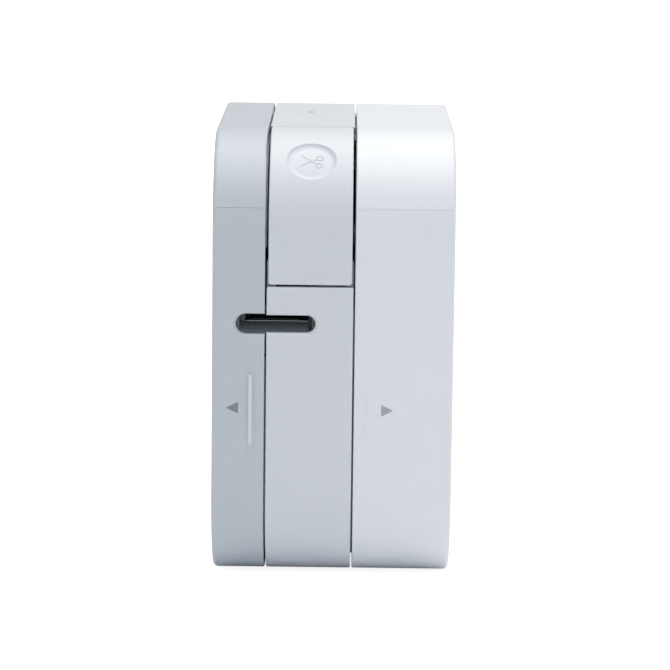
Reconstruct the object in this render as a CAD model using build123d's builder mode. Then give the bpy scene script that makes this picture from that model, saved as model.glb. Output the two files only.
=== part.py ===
"""A desk-top label maker for cassettes of 12 mm tape, standing upright like a book.

Two deep covers close a rounded square body from both sides: the thin one hides the tape
cassette and the thick one hides six AAA cells. A band runs round the middle between them.
Its front top corner is the cutter lever, and the tape comes out of the slot below it.

X runs across the thickness with the cassette cover at -X, the tape exit faces -Y and Z is
up. The origin is on the ground under the middle of the body. Sketches on a side plane take
(y, z) and sketches on a front plane take (x, z). All sizes are in millimetres.
"""

from build123d import *
from math import acos, atan2, cos, degrees, hypot, pi, radians, sin, tan
import os

# ---------------------------------------------------------------- outside
WIDTH = 61.0  # over both covers
DEPTH = 115.0  # over the finger ridges
HEIGHT = 115.0
RIDGE = 0.4  # how far a finger ridge stands out of the front face
CORNER = 24.0  # radius of the four corners seen from the side
WALL = 2.0  # covers and band
SEAM = 0.45  # gap between a cover and the band
LEFT_PART = 13.3  # thickness of the cassette cover
RIGHT_PART = 25.0  # thickness of the battery cover
EDGE = 1.1  # rounding of the outer edges

FRONT = -DEPTH / 2 + RIDGE
REAR = DEPTH / 2
MIDDLE = (FRONT + REAR) / 2
LEFT = -WIDTH / 2
RIGHT = WIDTH / 2
BAND = (LEFT + LEFT_PART + SEAM, RIGHT - RIGHT_PART - SEAM)

# ---------------------------------------------------------------- fits
AIR = 0.3  # between pieces that pass each other
TURN = 0.1  # radial clearance of a bore that turns on a pin
TOUCH = 0.05  # between flat faces that slide on each other

# ---------------------------------------------------------------- cutter
PIVOT = (FRONT + 4.9, 80.5)
PIN = 1.0
PANEL_TOP = 77.25  # upper edge of the fixed front panel
LEVER_FOOT = 77.85
LEVER_END = FRONT + 26.1  # where the lever ends in the top face
LEVER_SIDE = 0.37  # how much narrower than the band, each side
LEVER_GAP = 0.25
LEVER_REACH = hypot(LEVER_END - PIVOT[0], HEIGHT - PIVOT[1])
DIMPLE = 6.3  # radius of the finger dimple
DIMPLE_DEPTH = 0.8
DIMPLE_SOFT = 2.0  # radius that runs its floor up into its wall
DIMPLE_ANGLE = 47.3  # how far round the corner it lies
BLADE_PLANE = FRONT + 7.5  # where the two blades pass
BLADE = 0.6
CARRIER = 1.6
TAB_LEVEL = 84.0  # top of the tab that the lever presses
NOSE = 1.2  # radius of the lever's nose
NOSE_REACH = 13.5  # from the pivot to the nose

# ---------------------------------------------------------------- tape, platen and gears
TAPE_WIDTH = 12.0
TAPE = 0.16
TAPE_CENTRE = -14.4
TAPE_LEVEL = 67.8
SLOT = (-24.5, -4.4)  # ends of the exit slot
SLOT_IN_BAND = 4.5
SLOT_IN_COVER = 5.2
SLOT_BEVEL = 0.6
PLATEN = 4.5
PLATEN_AT = (-37.0, TAPE_LEVEL + TAPE / 2 + AIR + PLATEN)
SHAFT = 1.2
MODULE = 0.6
SLACK = 0.06  # added to each gear centre distance
WEB = (-6.1, -4.5)  # wall across the body that carries the works
GEAR_PLATE = (1.8, 3.0)
THIRD_PLANE = (-3.9, -2.3)
SECOND_PLANE = (-2.0, -0.6)
FIRST_PLANE = (-0.3, 1.3)
PINION_TEETH, FIRST_TEETH, FIRST_SMALL = 12, 40, 14
SECOND_TEETH, SECOND_SMALL, PLATEN_TEETH, TAKE_UP_TEETH = 36, 14, 20, 24
TAKE_UP_AT = (-21.5, 57.8)
FIRST_ANGLE = 60.0  # direction from the second gear to the first
MOTOR_ANGLE = 10.0  # direction from the first gear to the motor
MOTOR = 7.5
MOTOR_LENGTH = 17.0

# ---------------------------------------------------------------- cassette
CASE_X = (-22.4, -6.4)
CASE_Y = (-46.0, 31.0)
CASE_Z = (14.0, 70.0)
CASE_WALL = 1.2
NOTCH_Y = (-42.6, -30.0)  # window for the print head and the platen
NOTCH_FLOOR = 57.5
HUB = 3.0
TAPE_ROLL_AT, TAPE_ROLL = (7.0, 40.0), 20.5
FILM_ROLL_AT, FILM_ROLL = (-24.5, 40.5), 8.5
RIBBON_AT, RIBBON_ROLL = (-31.5, 26.0), 7.0
TAKE_UP_ROLL = 5.0

# ---------------------------------------------------------------- print head
HEAD_PIN_AT = (-33.2, 60.2)
HEAD_PIN = 1.2
HEAD_TOP = TAPE_LEVEL - TAPE / 2 - AIR
HEAD_PLATE = (62.0, 65.9)

# ---------------------------------------------------------------- battery side
TRAY_INSET = 3.9  # outside of the inner walls, from the outside of the body
TRAY_WALL = 1.5
TRAY_RIM = 3.0  # X where the tray stands on the body's inner wall
TRAY_FACE = (24.9, 26.5)
POCKET_FLOOR = (15.4, 16.9)
CELLS = 6
CELL = 5.2
CELL_LENGTH = 43.7
BUTTON_HEIGHT = 0.8
CELL_GAP = 0.6  # between neighbouring cells
CELL_PITCH = 2 * CELL + CELL_GAP
PLATE = 0.4
DOME = 1.2
SPRING_LENGTH = 4.0
POCKET_FOOT = 12.4
POCKET_TOP = POCKET_FOOT + 2 * PLATE + DOME + SPRING_LENGTH + CELL_LENGTH + BUTTON_HEIGHT
POCKET_HALF = CELLS * CELL_PITCH / 2 + 1.0
CELL_X = POCKET_FLOOR[1] + CELL

# ---------------------------------------------------------------- button, inlet, board
BUTTON_AT = (-6.8, 8.9)
BUTTON = 4.0
BUTTON_TRAVEL = 0.6
SWITCH_BOARD = (104.0, 105.2)
LENS_Y = 17.5
JACK_AT = (0.2, 22.0)  # (x, z) of the adapter inlet
JACK_BORE = 2.85
JACK_NOSE = 3.9
BOARD_X = (8.0, 9.6)
BOARD_Y = (-40.0, 40.0)
BOARD_Z = (13.5, 56.0)
POST = 2.3  # radius of the posts that carry the battery tray
TRAY_SCREWS = ((-28.0, 8.3), (28.0, 8.3), (-19.0, 104.0), (30.0, 104.0))
PLATE_SCREWS = ((-38.5, 87.0), (-41.0, 57.5), (-7.0, 60.5), (3.5, 92.0))


# ---------------------------------------------------------------- small tools
def side(x):
    """Plane across X: sketches take (y, z), extrusions go towards +X."""
    return Plane(origin=(x, 0, 0), x_dir=(0, 1, 0), z_dir=(1, 0, 0))


def front(y):
    """Plane across Y: sketches take (x, z), extrusions go towards -Y."""
    return Plane(origin=(0, y, 0), x_dir=(1, 0, 0), z_dir=(0, -1, 0))


def outline(inset, mode=Mode.ADD):
    """The body's rounded square pulled in by inset, in a side sketch."""
    with Locations((MIDDLE, HEIGHT / 2)):
        RectangleRounded(
            REAR - FRONT - 2 * inset, HEIGHT - 2 * inset, CORNER - inset, mode=mode
        )


def wall_ring(x, outer, inner, mode=Mode.ADD):
    """A rounded square ring between two insets, over a range of x."""
    with BuildSketch(side(x[0])) as ring:
        outline(outer)
        outline(inner, mode=Mode.SUBTRACT)
    extrude(ring.sketch, amount=x[1] - x[0], mode=mode)


def block(x, y, z, mode=Mode.ADD):
    """A box between the low and high value on each axis."""
    with Locations(((x[0] + x[1]) / 2, (y[0] + y[1]) / 2, (z[0] + z[1]) / 2)):
        Box(x[1] - x[0], y[1] - y[0], z[1] - z[0], mode=mode)


def rod_x(x, at, radius, mode=Mode.ADD):
    """A cylinder along X over a range of x, at (y, z)."""
    with Locations(Location(((x[0] + x[1]) / 2, at[0], at[1]), (0, 90, 0))):
        Cylinder(radius, x[1] - x[0], mode=mode)


def rod_y(y, at, radius, mode=Mode.ADD):
    """A cylinder along Y over a range of y, at (x, z)."""
    with Locations(Location((at[0], (y[0] + y[1]) / 2, at[1]), (90, 0, 0))):
        Cylinder(radius, y[1] - y[0], mode=mode)


def rod_z(z, at, radius, mode=Mode.ADD):
    """A cylinder along Z over a range of z, at (x, y)."""
    with Locations((at[0], at[1], (z[0] + z[1]) / 2)):
        Cylinder(radius, z[1] - z[0], mode=mode)


def towards(at, distance, angle):
    """The (y, z) at a distance and a direction from another."""
    return (at[0] + distance * cos(radians(angle)), at[1] + distance * sin(radians(angle)))


def heading(start, end):
    """Direction in degrees from one (y, z) to another."""
    return degrees(atan2(end[1] - start[1], end[0] - start[0]))


def across_x(part):
    """A part's flat faces square to X, from -X to +X."""
    return part.faces().filter_by(Axis.X).sort_by(Axis.X)


pieces = {}


def keep(label, builder):
    """Labels a finished piece and remembers it for export."""
    builder.part.label = label
    pieces[label] = builder.part


# ---------------------------------------------------------------- covers
SNAP = (TRAY_INSET - 1.5, TRAY_INSET - 0.4)  # inset of a snap tab's two faces
SNAP_WIDTH = 9.0
SNAP_REACH = 2.4  # how far it goes inside the band
RIDGE_Z = (36.6, 55.2)
PARTING_LEVEL = 97.1
PARTING = 0.12


def snap_tab(root, tip, place, at):
    """A tab on the inside of a cover's wall that slips inside the band."""
    x = (min(root, tip), max(root, tip))
    rim = (x[0], x[1] - SNAP_REACH) if tip > root else (x[0] + SNAP_REACH, x[1])
    half = SNAP_WIDTH / 2
    low, high = SNAP
    seat = WALL - 0.4
    along = (at - half, at + half)
    if place == "top":
        block(x, along, (HEIGHT - high, HEIGHT - low))
        block(rim, along, (HEIGHT - low, HEIGHT - seat))
    elif place == "bottom":
        block(x, along, (low, high))
        block(rim, along, (seat, low))
    else:
        block(x, (REAR - high, REAR - low), along)
        block(rim, (REAR - low, REAR - seat), along)


def finger_ridge(x):
    """A round-ended rib on the front face for a fingertip to push."""
    with BuildSketch(front(FRONT + 0.2)) as rib:
        with Locations((x, sum(RIDGE_Z) / 2)):
            SlotOverall(RIDGE_Z[1] - RIDGE_Z[0], 1.2, rotation=90)
    extrude(rib.sketch, amount=RIDGE + 0.2)


def parting_line(x):
    """The fine line that the mould leaves across the front top corner."""
    rise = (PARTING_LEVEL - (HEIGHT - CORNER)) / CORNER
    surface = FRONT + CORNER * (1 - (1 - rise * rise) ** 0.5)
    half = PARTING / 2
    block(
        x,
        (surface - 1, surface + PARTING),
        (PARTING_LEVEL - half, PARTING_LEVEL + half),
        Mode.SUBTRACT,
    )


def exit_slot(width, ends):
    """Cuts the round-ended tape exit through the front wall, with a bevelled mouth."""
    length = ends[1] - ends[0]
    centre = ((ends[0] + ends[1]) / 2, TAPE_LEVEL)
    with BuildSketch(front(FRONT + WALL + 1)) as throat:
        with Locations(centre):
            SlotOverall(length, width)
    extrude(throat.sketch, amount=WALL + 2, mode=Mode.SUBTRACT)
    with BuildSketch(front(FRONT)) as mouth:
        with Locations(centre):
            SlotOverall(length + 2 * SLOT_BEVEL, width + 2 * SLOT_BEVEL)
    with BuildSketch(front(FRONT + SLOT_BEVEL)) as neck:
        with Locations(centre):
            SlotOverall(length, width)
    loft([mouth.sketch, neck.sketch], mode=Mode.SUBTRACT)


with BuildPart() as cassette_cover:
    rim = LEFT + LEFT_PART
    with BuildSketch(side(LEFT)):
        outline(0)
    extrude(amount=LEFT_PART)
    fillet(across_x(cassette_cover)[0].outer_wire().edges(), EDGE)
    with BuildSketch(side(LEFT + WALL)):
        outline(WALL)
    extrude(amount=LEFT_PART - WALL, mode=Mode.SUBTRACT)
    fillet(across_x(cassette_cover)[-1].outer_wire().edges(), 0.4)
    exit_slot(SLOT_IN_COVER, (SLOT[0], SLOT[1] + 10))
    for place, at in (("top", 20.0), ("bottom", -12.0), ("bottom", 14.0), ("rear", 45.0)):
        snap_tab(rim - 5, rim + SNAP_REACH + SEAM, place, at)
    finger_ridge(BAND[0] - 3.95)
    parting_line((LEFT, rim))
keep("cassette_cover", cassette_cover)

with BuildPart() as battery_cover:
    rim = RIGHT - RIGHT_PART
    with BuildSketch(side(rim)):
        outline(0)
    extrude(amount=RIGHT_PART)
    fillet(across_x(battery_cover)[-1].outer_wire().edges(), EDGE)
    with BuildSketch(side(rim)):
        outline(WALL)
    extrude(amount=RIGHT_PART - WALL, mode=Mode.SUBTRACT)
    fillet(across_x(battery_cover)[0].outer_wire().edges(), 0.4)
    for place, at in (("top", 20.0), ("bottom", -12.0), ("bottom", 14.0), ("rear", 45.0)):
        snap_tab(rim + 5, rim - SNAP_REACH - SEAM, place, at)
    finger_ridge(BAND[1] + 4.2)
    parting_line((rim, RIGHT))
keep("battery_cover", battery_cover)


# ---------------------------------------------------------------- gear train
def meet(start, reach, end, other):
    """The point at given distances from two others, on the right of start to end."""
    span = hypot(end[0] - start[0], end[1] - start[1])
    turn = degrees(acos((reach**2 + span**2 - other**2) / (2 * reach * span)))
    return towards(start, reach, heading(start, end) + turn)


def spacing(teeth, others):
    """Centre distance of two gears."""
    return MODULE * (teeth + others) / 2 + SLACK


def mesh_phase(phase, teeth, at, others, others_at):
    """Angle of a tooth of the second gear that puts its gap on the first gear's tooth."""
    line = heading(at, others_at)
    return line + 180 - teeth / others * (phase - line) - 180 / others


SECOND_AT = meet(
    PLATEN_AT,
    spacing(SECOND_SMALL, PLATEN_TEETH),
    TAKE_UP_AT,
    spacing(SECOND_SMALL, TAKE_UP_TEETH),
)
FIRST_AT = towards(SECOND_AT, spacing(FIRST_SMALL, SECOND_TEETH), FIRST_ANGLE)
MOTOR_AT = towards(FIRST_AT, spacing(FIRST_TEETH, PINION_TEETH), MOTOR_ANGLE)


def gear(x, at, teeth, phase):
    """A spur gear with 20 degree involute flanks, one tooth centred at phase degrees."""
    pitch = MODULE * teeth / 2
    base = pitch * cos(radians(20))
    root = pitch - 1.2 * MODULE
    tip = pitch + 0.9 * MODULE
    half = (pi / 2 - 0.08) / teeth + tan(radians(20)) - radians(20)
    flank = []
    for step in range(4):
        radius = max(root, base) + (tip - max(root, base)) * step / 3
        roll = acos(base / radius) if radius > base else 0.0
        flank.append((radius, half - tan(roll) + roll))
    points = []
    for tooth in range(teeth):
        middle = radians(phase) + 2 * pi * tooth / teeth
        if root < base:
            points.append((root, middle - half))
        points += [(radius, middle - angle) for radius, angle in flank]
        points += [(radius, middle + angle) for radius, angle in reversed(flank)]
        if root < base:
            points.append((root, middle + half))
    corners = [(at[0] + r * cos(a), at[1] + r * sin(a)) for r, a in points]
    with BuildSketch(side(x[0])) as teeth_all_round:
        Polygon(*corners, align=None)
    extrude(teeth_all_round.sketch, amount=x[1] - x[0])


SECOND_PHASE = 0.0
FIRST_SMALL_PHASE = mesh_phase(SECOND_PHASE, SECOND_TEETH, SECOND_AT, FIRST_SMALL, FIRST_AT)
PINION_PHASE = mesh_phase(0.0, FIRST_TEETH, FIRST_AT, PINION_TEETH, MOTOR_AT)
PLATEN_PHASE = mesh_phase(0.0, SECOND_SMALL, SECOND_AT, PLATEN_TEETH, PLATEN_AT)
TAKE_UP_PHASE = mesh_phase(0.0, SECOND_SMALL, SECOND_AT, TAKE_UP_TEETH, TAKE_UP_AT)
AXLE = 1.2

with BuildPart() as motor_pinion:
    gear(FIRST_PLANE, MOTOR_AT, PINION_TEETH, PINION_PHASE)
    rod_x((FIRST_PLANE[1], GEAR_PLATE[1] + 0.2), MOTOR_AT, 1.0)
keep("motor_pinion", motor_pinion)

with BuildPart() as first_gear:
    gear(FIRST_PLANE, FIRST_AT, FIRST_TEETH, 0.0)
    rod_x((SECOND_PLANE[1], FIRST_PLANE[0]), FIRST_AT, 3.0)
    gear(SECOND_PLANE, FIRST_AT, FIRST_SMALL, FIRST_SMALL_PHASE)
    rod_x((WEB[1] + 0.2, SECOND_PLANE[0]), FIRST_AT, 2.2)
    rod_x((WEB[1], GEAR_PLATE[0]), FIRST_AT, AXLE + TURN, Mode.SUBTRACT)
keep("first_gear", first_gear)

with BuildPart() as second_gear:
    gear(SECOND_PLANE, SECOND_AT, SECOND_TEETH, SECOND_PHASE)
    rod_x((THIRD_PLANE[1], SECOND_PLANE[0]), SECOND_AT, 3.0)
    gear(THIRD_PLANE, SECOND_AT, SECOND_SMALL, 0.0)
    rod_x((SECOND_PLANE[1], GEAR_PLATE[0] - 0.3), SECOND_AT, 2.0)
    rod_x((WEB[1], GEAR_PLATE[0]), SECOND_AT, AXLE + TURN, Mode.SUBTRACT)
keep("second_gear", second_gear)

with BuildPart() as platen_shaft:
    gear(THIRD_PLANE, PLATEN_AT, PLATEN_TEETH, PLATEN_PHASE)
    rod_x((TAPE_CENTRE - TAPE_WIDTH / 2 - 0.6, THIRD_PLANE[0]), PLATEN_AT, SHAFT)
keep("platen_shaft", platen_shaft)

PLATEN_X = (TAPE_CENTRE - TAPE_WIDTH / 2 - 0.3, WEB[0] - 2.6)
with BuildPart() as platen_roller:
    rod_x(PLATEN_X, PLATEN_AT, PLATEN)
    rod_x(PLATEN_X, PLATEN_AT, SHAFT, Mode.SUBTRACT)
    fillet(platen_roller.edges().filter_by(GeomType.CIRCLE).sort_by(SortBy.RADIUS)[-2:], 0.3)
keep("platen_roller", platen_roller)

SPINDLE = 2.0
with BuildPart() as take_up_spindle:
    gear(THIRD_PLANE, TAKE_UP_AT, TAKE_UP_TEETH, TAKE_UP_PHASE)
    rod_x((WEB[0] - 0.4, THIRD_PLANE[0]), TAKE_UP_AT, SHAFT)
    rod_x((CASE_X[0] + CASE_WALL + 1.6, WEB[0] - 0.4), TAKE_UP_AT, SPINDLE)
keep("take_up_spindle", take_up_spindle)

with BuildPart() as gear_axles:
    for at in (FIRST_AT, SECOND_AT):
        rod_x((WEB[0], GEAR_PLATE[1]), at, AXLE)
keep("gear_axles", gear_axles)

with BuildPart() as gear_plate:
    with BuildSketch(side(GEAR_PLATE[0])):
        with BuildLine():
            low, high = PLATE_SCREWS[1], PLATE_SCREWS[3]
            Polyline(
                (low[0] - 3, low[1] - 3),
                (PLATE_SCREWS[2][0] + 4, low[1] - 3),
                (high[0] + 4, PLATE_SCREWS[2][1] + 4),
                (high[0] + 4, high[1] + 3),
                (PLATE_SCREWS[0][0] + 8, high[1] + 3),
                (low[0] - 3, PLATE_SCREWS[0][1] - 2),
                close=True,
            )
        make_face()
    extrude(amount=GEAR_PLATE[1] - GEAR_PLATE[0])
    for at in (FIRST_AT, SECOND_AT):
        rod_x(GEAR_PLATE, at, AXLE, Mode.SUBTRACT)
    for at in PLATE_SCREWS:
        rod_x(GEAR_PLATE, at, 0.9, Mode.SUBTRACT)
    rod_x(GEAR_PLATE, MOTOR_AT, 2.4, Mode.SUBTRACT)
    fillet(gear_plate.edges().filter_by(Axis.X), 2.0)
keep("gear_plate", gear_plate)

with BuildPart() as motor:
    rod_x((GEAR_PLATE[1], GEAR_PLATE[1] + MOTOR_LENGTH), MOTOR_AT, MOTOR)
    fillet(motor.edges().filter_by(GeomType.CIRCLE).sort_by(Axis.X)[-1], 1.0)
    rod_x((GEAR_PLATE[1] + MOTOR_LENGTH, GEAR_PLATE[1] + MOTOR_LENGTH + 0.8), MOTOR_AT, 2.5)
    rod_x((GEAR_PLATE[1], GEAR_PLATE[1] + 2), MOTOR_AT, 1.4, Mode.SUBTRACT)
keep("motor", motor)

# ---------------------------------------------------------------- main body
LUG = 2.1  # round the lever's pin, towards the front
LUG_WIDTH = 2.2
LUG_TOP = 83.4
HEAD_SEAT = NOTCH_FLOOR + AIR
CLEAR = 9.0  # how far in from the outside the lever's room reaches


def lever_room(x, inset, mode=Mode.SUBTRACT):
    """The corner swept by the lever, between the outside and an inset."""
    with BuildSketch(side(x[0])) as sweep_of_lever:
        with Locations(PIVOT):
            Circle(LEVER_REACH + LEVER_GAP)
        with Locations((PIVOT[0], PANEL_TOP - 50)):
            Rectangle(200, 100, mode=Mode.SUBTRACT)
        outline(inset, mode=Mode.SUBTRACT)
    extrude(sweep_of_lever.sketch, amount=x[1] - x[0], mode=mode)


with BuildPart() as main_body:
    wall_ring(BAND, 0, WALL)
    fillet(across_x(main_body)[0].outer_wire().edges(), 0.4)
    fillet(across_x(main_body)[-1].outer_wire().edges(), 0.4)
    with BuildSketch(side(WEB[0])):
        outline(WALL)
    extrude(amount=WEB[1] - WEB[0])
    wall_ring((WEB[1], TRAY_RIM), TRAY_INSET, TRAY_INSET + TRAY_WALL)
    wall_ring((CASE_X[0], WEB[0]), TRAY_INSET, TRAY_INSET + TRAY_WALL)
    lever_room((BAND[0] - 0.1, BAND[1] + 0.1), CLEAR)
    block(
        (CASE_X[0] - 0.1, WEB[0]),
        (FRONT + WALL, FRONT + 11),
        (TAPE_LEVEL - 9, TAPE_LEVEL + 19),
        Mode.SUBTRACT,
    )
    panel_edge = main_body.faces().filter_by(Axis.Z).sort_by(Axis.Y)
    panel_edge = [f for f in panel_edge if abs(f.center().Z - PANEL_TOP) < 0.01][0]
    fillet(panel_edge.edges().filter_by(Axis.X).sort_by(Axis.Y)[0], 0.5)
    exit_slot(SLOT_IN_BAND, (SLOT[0] + 6.0, SLOT[1]))
    for x in ((BAND[0], BAND[0] + LUG_WIDTH), (BAND[1] - LUG_WIDTH, BAND[1])):
        block(x, (FRONT + WALL, PIVOT[0] + 1.6), (PANEL_TOP - 5.5, PANEL_TOP - 0.2))
        block(x, (PIVOT[0] - LUG, PIVOT[0] + 1.6), (PANEL_TOP - 0.2, LUG_TOP))
    rod_x(BAND, PIVOT, PIN, Mode.SUBTRACT)
    for at in (FIRST_AT, SECOND_AT):
        rod_x(WEB, at, AXLE, Mode.SUBTRACT)
    rod_x((WEB[0] - 2.4, WEB[0]), PLATEN_AT, 3.0)
    for at in (PLATEN_AT, TAKE_UP_AT):
        rod_x((WEB[0] - 2.4, WEB[1]), at, SHAFT + TURN, Mode.SUBTRACT)
    rod_x(WEB, HEAD_PIN_AT, HEAD_PIN, Mode.SUBTRACT)
    block((WEB[0] - 5, WEB[0]), (-41.6, -37.4), (HEAD_SEAT, HEAD_SEAT + 1.0))
    for at in PLATE_SCREWS:
        rod_x((WEB[1], GEAR_PLATE[0]), at, 2.0)
        rod_x((GEAR_PLATE[0] - 4, GEAR_PLATE[0]), at, 0.7, Mode.SUBTRACT)
    for at in TRAY_SCREWS:
        rod_x((WEB[1], TRAY_FACE[0]), at, POST)
        rod_x((TRAY_FACE[0] - 8, TRAY_FACE[0]), at, 0.9, Mode.SUBTRACT)
    for y in (BOARD_Y[0] + 4, BOARD_Y[1] - 4):
        for z in (BOARD_Z[0] + 4, BOARD_Z[1] - 4):
            rod_x((WEB[1], BOARD_X[0]), (y, z), 2.2)
            rod_x((BOARD_X[0] - 5, BOARD_X[0]), (y, z), 0.7, Mode.SUBTRACT)
    rod_z((HEIGHT - WALL, HEIGHT), BUTTON_AT, BUTTON + 0.12, Mode.SUBTRACT)
    block(
        (BUTTON_AT[0] - 6.5, BUTTON_AT[0] + 6.5),
        (BUTTON_AT[1] - 6.5, LENS_Y + 2.0),
        (SWITCH_BOARD[0], HEIGHT - WALL),
        Mode.SUBTRACT,
    )
    for y in (BUTTON_AT[1] - 5.5, BUTTON_AT[1] + 5.5):
        block((BUTTON_AT[0] - 4, BUTTON_AT[0] + 4), (y - 1, y + 1), (97.0, SWITCH_BOARD[0]))
    rod_z((HEIGHT - WALL, HEIGHT), (BUTTON_AT[0], LENS_Y), 0.75, Mode.SUBTRACT)
    rod_y((REAR - WALL, REAR), JACK_AT, JACK_NOSE, Mode.SUBTRACT)
    block(
        (JACK_AT[0] - 4.3, BAND[1]),
        (REAR - WALL - 12, REAR - WALL),
        (JACK_AT[1] - 4.5, JACK_AT[1] + 4.5),
        Mode.SUBTRACT,
    )
    block((WEB[1], TRAY_RIM), (REAR - 13, REAR - 6), (JACK_AT[1] - 6.0, JACK_AT[1] - 4.5))
keep("main_body", main_body)

# ---------------------------------------------------------------- cutter
LEVER_X = (BAND[0] + LEVER_SIDE, BAND[1] - LEVER_SIDE)
RIB = 2.0
RIB_X = (LEVER_X[0] + LUG_WIDTH, LEVER_X[1] - LUG_WIDTH - RIB)

# The dimple's floor follows the corner, so it is equally deep all round, and a soft wall
# carries it up to a round rim.
lean = radians(DIMPLE_ANGLE)
corner_centre = (FRONT + CORNER, HEIGHT - CORNER)
dimple_plane = Plane(
    origin=(
        sum(LEVER_X) / 2,
        corner_centre[0] - (CORNER - 4) * cos(lean),
        corner_centre[1] + (CORNER - 4) * sin(lean),
    ),
    x_dir=(1, 0, 0),
    z_dir=(0, -cos(lean), sin(lean)),
)
wall_run = (DIMPLE_SOFT**2 - (DIMPLE_SOFT - DIMPLE_DEPTH) ** 2) ** 0.5
with BuildPart() as dimple_tool:
    with BuildSketch(dimple_plane):
        Circle(DIMPLE - wall_run + DIMPLE_SOFT)
    extrude(amount=7)
    rod_x((LEVER_X[0] - 5, LEVER_X[1] + 5), corner_centre, CORNER - DIMPLE_DEPTH, Mode.SUBTRACT)
    floor_edge = [
        e
        for e in dimple_tool.edges()
        if e.geom_type not in (GeomType.CIRCLE, GeomType.LINE)
    ]
    fillet(floor_edge, DIMPLE_SOFT)

with BuildPart() as cutter_lever:
    with BuildSketch(side(LEVER_X[0])):
        with Locations(PIVOT):
            Circle(LEVER_REACH)
        with Locations((PIVOT[0], LEVER_FOOT - 50)):
            Rectangle(200, 100, mode=Mode.SUBTRACT)
        outline(0, mode=Mode.INTERSECT)
        outline(WALL, mode=Mode.SUBTRACT)
    extrude(amount=LEVER_X[1] - LEVER_X[0])
    fillet(cutter_lever.edges().filter_by(Axis.Y).group_by(Axis.Z)[0], 0.8)
    outer_face = cutter_lever.edges().filter_by(Axis.X).sort_by(Axis.Z)
    fillet([e for e in outer_face if abs(e.center().Y - FRONT) < 0.01], 0.4)
    nose = (PIVOT[0] + NOSE_REACH, TAB_LEVEL + 3 * TOUCH + NOSE)
    for x in RIB_X:
        with BuildSketch(side(x)):
            with Locations(PIVOT):
                Circle(2.0)
            with BuildLine():
                Polyline(
                    (FRONT + WALL - 0.5, PIVOT[1] - 1.6),
                    (PIVOT[0], PIVOT[1] - 2.0),
                    (PIVOT[0] + 2.0, PIVOT[1]),
                    (PIVOT[0] + 2.2, TAB_LEVEL + 0.8),
                    (PIVOT[0] + 4.5, TAB_LEVEL + 3.0),
                    (PIVOT[0] + 4.5, HEIGHT - CORNER + 4),
                    (FRONT + WALL - 0.5, HEIGHT - CORNER),
                    close=True,
                )
            make_face()
        extrude(amount=RIB)
    with BuildSketch(side(RIB_X[0])):
        with Locations(nose):
            Circle(NOSE)
        with BuildLine():
            Polyline(
                (PIVOT[0] + 3.0, TAB_LEVEL + 2.4),
                (nose[0], nose[1] - NOSE),
                (nose[0] + NOSE, nose[1]),
                (PIVOT[0] + 4.0, HEIGHT - CORNER + 2),
                close=True,
            )
        make_face()
    extrude(amount=RIB + 4)
    rod_x((RIB_X[0], RIB_X[1] + RIB), PIVOT, PIN + TURN, Mode.SUBTRACT)
    add(dimple_tool.part, mode=Mode.SUBTRACT)
keep("cutter_lever", cutter_lever)

with BuildPart() as lever_pin:
    rod_x(BAND, PIVOT, PIN)
keep("lever_pin", lever_pin)

BLADE_X = (TAPE_CENTRE - 7.6, WEB[0] - 0.4)
TAB_REACH = PIVOT[0] + NOSE_REACH + 1.0
EDGE_UP = 1.3  # the moving edge's height over the tape at rest
with BuildPart() as moving_blade:
    with BuildSketch(front(BLADE_PLANE + BLADE)):
        with BuildLine():
            Polyline(
                (BLADE_X[0], TAPE_LEVEL + EDGE_UP + 0.6),
                (BLADE_X[1], TAPE_LEVEL + EDGE_UP),
                (BLADE_X[1], TAPE_LEVEL + 9),
                (BLADE_X[0], TAPE_LEVEL + 9),
                close=True,
            )
        make_face()
    extrude(amount=BLADE)
keep("moving_blade", moving_blade)

with BuildPart() as blade_carrier:
    back = BLADE_PLANE + BLADE
    block(BLADE_X, (back, back + CARRIER), (TAPE_LEVEL + 3.2, TAB_LEVEL))
    block((BLADE_X[0] + 5, BLADE_X[1] - 2), (back, TAB_REACH), (TAB_LEVEL - 1.5, TAB_LEVEL))
    fillet(blade_carrier.edges().filter_by(Axis.Z).sort_by(Axis.Y)[-2:], 1.5)
keep("blade_carrier", blade_carrier)

with BuildPart() as cutter_guide:
    fixed = BLADE_PLANE - TOUCH - 0.95
    with BuildSketch(side(BLADE_X[0] - 2.3)):
        with BuildLine():
            Polyline(
                (FRONT + WALL + AIR, TAPE_LEVEL - 8),
                (fixed, TAPE_LEVEL - 8),
                (fixed, TAPE_LEVEL - 0.2),
                (FRONT + WALL + AIR, TAPE_LEVEL - 2.1),
                close=True,
            )
        make_face()
    extrude(amount=WEB[0] - BLADE_X[0] + 2.3)
    guide_x = (BLADE_X[0] - 2.3, BLADE_X[0] - AIR)
    hood = (TAPE_LEVEL + 3.3, TAPE_LEVEL + 3.8)
    block((guide_x[0], WEB[0]), (FRONT + WALL + AIR, BLADE_PLANE - AIR), hood)
    block(
        (guide_x[0], guide_x[0] + 0.6),
        (FRONT + WALL + AIR, BLADE_PLANE),
        (TAPE_LEVEL - 8, hood[1]),
    )
    block(guide_x, (FRONT + WALL + AIR, BLADE_PLANE + 3.0), (TAPE_LEVEL - 8, TAPE_LEVEL - 4))
    block(guide_x, (BLADE_PLANE, BLADE_PLANE + 3.0), (TAPE_LEVEL - 5, TAB_LEVEL - 2))
    block(guide_x, (fixed, BLADE_PLANE + 1), (TAPE_LEVEL - 5, TAPE_LEVEL + 8))
keep("cutter_guide", cutter_guide)

with BuildPart() as fixed_blade:
    block(
        (BLADE_X[0], WEB[0]),
        (BLADE_PLANE - TOUCH - 0.95, BLADE_PLANE - TOUCH),
        (TAPE_LEVEL - 8, TAPE_LEVEL - TAPE / 2 - 0.02),
    )
keep("fixed_blade", fixed_blade)



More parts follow.
